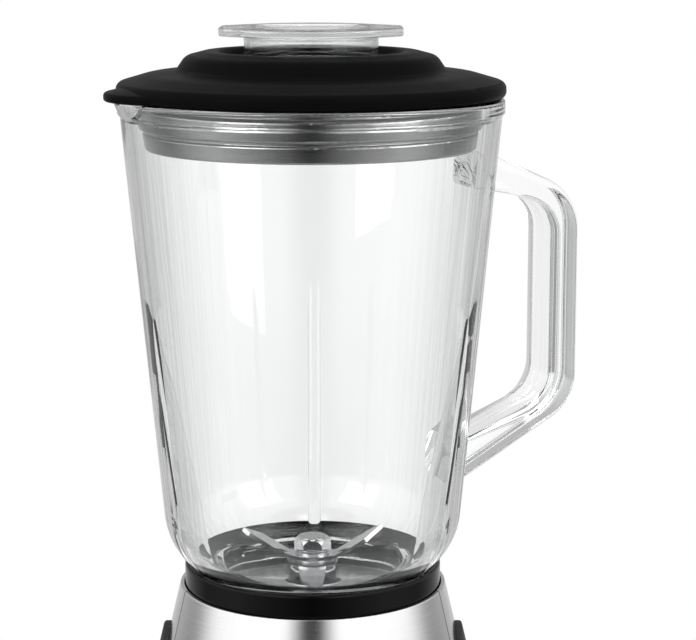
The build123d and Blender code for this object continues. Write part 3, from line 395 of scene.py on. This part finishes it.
plated_metal("bracket_metal", (0.55, 0.55, 0.56), 0.45)
moulded_plastic("brush_carbon", (0.03, 0.03, 0.03), 0.6, 2500, 0.00005)
moulded_plastic("switch_plastic", (0.05, 0.05, 0.055), 0.5, 1500, 0.00004)
moulded_plastic("terminal_pale", (0.7, 0.7, 0.66), 0.45, 1500, 0.00004)


def dress_nodes():
    """Give each CAD node the finish of its material slot."""
    for part in frame["record"]["subparts"]:
        materials = frame["nodes"][part["node"]].data.materials
        materials.clear()
        materials.append(finishes[part["material_slot"]])


# Studio

def studio_camera():
    """The camera, level from side to side and tilted down."""
    data = bpy.data.cameras.new("camera")
    data.sensor_fit = "HORIZONTAL"
    data.sensor_width = sensor_width
    data.lens = camera_lens
    camera = bpy.data.objects.new("camera", data)
    camera.location = camera_place
    camera.rotation_euler = (math.pi / 2 - camera_pitch, 0, 0)
    bpy.context.scene.collection.objects.link(camera)
    bpy.context.scene.camera = camera


def studio_world():
    """White backdrop, with the soft boxes and the dark room in front of it that mirrors see."""
    world = bpy.data.worlds.new("studio")
    bpy.context.scene.world = world
    world.use_nodes = True
    tree = Nodes(world.node_tree)
    for node in list(world.node_tree.nodes):
        world.node_tree.nodes.remove(node)
    x, y, z = tree.xyz(tree.node("TexCoord", out="Generated"))
    boxes = tree.around(x, y, soft_boxes) * box_level
    room = tree.around(x, y, dark_room)
    height = z * 0.5 + 0.5
    mirrored = room + tree.ramp(height, box_foot) * (boxes - room)
    seen = tree.seen_rays()
    level = seen * tree.backdrop(mirrored, tree.ramp(height, ceiling)) + (1 - seen) * ambient
    light = tree.node("Background", Color=white, Strength=level)
    output = world.node_tree.nodes.new("ShaderNodeOutputWorld")
    feed(world.node_tree, output.inputs["Surface"], light)


def soft_lamp(name, place, width, height, power):
    """A large area lamp that faces the object and doesn't show in reflections."""
    data = bpy.data.lights.new(name, "AREA")
    data.shape = "RECTANGLE"
    data.size = width
    data.size_y = height
    data.energy = power
    lamp = bpy.data.objects.new(name, data)
    lamp.location = place
    aim = np.subtract(lamp_target, place)
    lamp.rotation_euler = (
        math.atan2(math.hypot(aim[0], aim[1]), -aim[2]), 0, math.atan2(-aim[0], aim[1]))
    lamp.visible_glossy = False
    bpy.context.scene.collection.objects.link(lamp)


def studio_floor():
    """Floor that looks white, apart from the shadow near the feet."""
    half = floor_size / 2
    corners = [(-half, -half, 0), (half, -half, 0), (half, half, 0), (-half, half, 0)]
    mesh = bpy.data.meshes.new("floor")
    mesh.from_pydata(corners, [], [(0, 1, 2, 3)])
    finish = Finish("floor", floor_colour, Roughness=floor_roughness)
    x, y, _ = finish.xyz(finish.place)
    _, away, _ = finish.about_axis()
    far = finish.ramp(away / shadow_reach, shadow_fade)
    mirrored = finish.around(x, y, dark_room)
    glow = finish.node("Emission", Color=white, Strength=finish.backdrop(mirrored))
    finish.mixed(far * finish.seen_rays(), glow)
    mesh.materials.append(finish.material)
    floor = bpy.data.objects.new("floor", mesh)
    bpy.context.scene.collection.objects.link(floor)


# Dial marks

def number_shape(text):
    """Flat number, with its middle at the origin."""
    curve = bpy.data.curves.new("number", "FONT")
    curve.body = text
    curve.size = number_size
    curve.extrude = mark_depth / 2
    curve.align_x = "CENTER"
    curve.align_y = "CENTER"
    writing = bpy.data.objects.new("number", curve)
    bpy.context.scene.collection.objects.link(writing)
    bpy.context.view_layer.update()
    mesh = bpy.data.meshes.new_from_object(writing)
    bpy.data.objects.remove(writing)
    points = np.empty((len(mesh.vertices), 3), np.float32)
    mesh.vertices.foreach_get("co", points.ravel())
    faces = [tuple(face.vertices) for face in mesh.polygons]
    bpy.data.meshes.remove(mesh)
    points[:, :2] -= (points[:, :2].min(axis=0) + points[:, :2].max(axis=0)) / 2
    return points, faces


def bar_shape(outline):
    """Flat bar: its outline once on each face, with a band of sides between them."""
    count = len(outline)
    heights = np.repeat((-mark_depth / 2, mark_depth / 2), count)
    points = np.column_stack((np.tile(outline, (2, 1)), heights))
    ring = np.arange(count)
    after = np.roll(ring, -1)
    sides = np.column_stack((ring, after, after + count, ring + count))
    return points, [ring[::-1].tolist(), (ring + count).tolist(), *sides.tolist()]


def on_dial(points, turn, circle, spin):
    """Places of a mark on a circle, at an angle clockwise from the top of the dial.

    The mark stays upright or is spun to point outwards. Its points then go onto the dial's own axes.
    """
    lean = -turn if spin else 0.0
    c, s = math.cos(lean), math.sin(lean)
    across = c * points[:, 0] - s * points[:, 1] + circle * math.sin(turn)
    up = s * points[:, 0] + c * points[:, 1] + circle * math.cos(turn)
    out = points[:, 2] + dial_face + mark_depth / 2
    return dial_centre + np.outer(across, dial_right) + np.outer(up, dial_up) + np.outer(out, dial_normal)


def dial_marks():
    """Numbers, ticks and the dot on the dial plate."""
    half = tick_width / 2
    tick = ((-half, 0), (half, 0), (half, tick_length), (-half, tick_length))
    turns = np.linspace(0, 2 * math.pi, burst_corners, endpoint=False)
    dot = burst_radius * np.column_stack((np.cos(turns), np.sin(turns)))
    marks = []
    for speed in range(speeds):
        shape, faces = number_shape(str(speed))
        marks.append((on_dial(shape, speed * speed_turn, number_circle, False), faces))
        shape, faces = bar_shape(tick)
        marks.append((on_dial(shape, speed * speed_turn, tick_circle, True), faces))
    shape, faces = bar_shape(dot)
    marks.append((on_dial(shape, burst_turn, number_circle, False), faces))
    places = []
    polygons = []
    for points, faces in marks:
        polygons += [tuple(len(places) + k for k in face) for face in faces]
        places += points.tolist()
    mesh = bpy.data.meshes.new("dial_marks")
    mesh.from_pydata(places, [], polygons)
    mesh.materials.append(finishes["pointer_white"])
    piece = bpy.data.objects.new("dial_marks", mesh)
    bpy.context.scene.collection.objects.link(piece)
    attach(piece, "base")


dress_nodes()
dial_marks()
studio_camera()
studio_world()
studio_floor()
for name, settings in lamps.items():
    soft_lamp(name, *settings)

bpy.context.scene.view_settings.view_transform = "Standard"
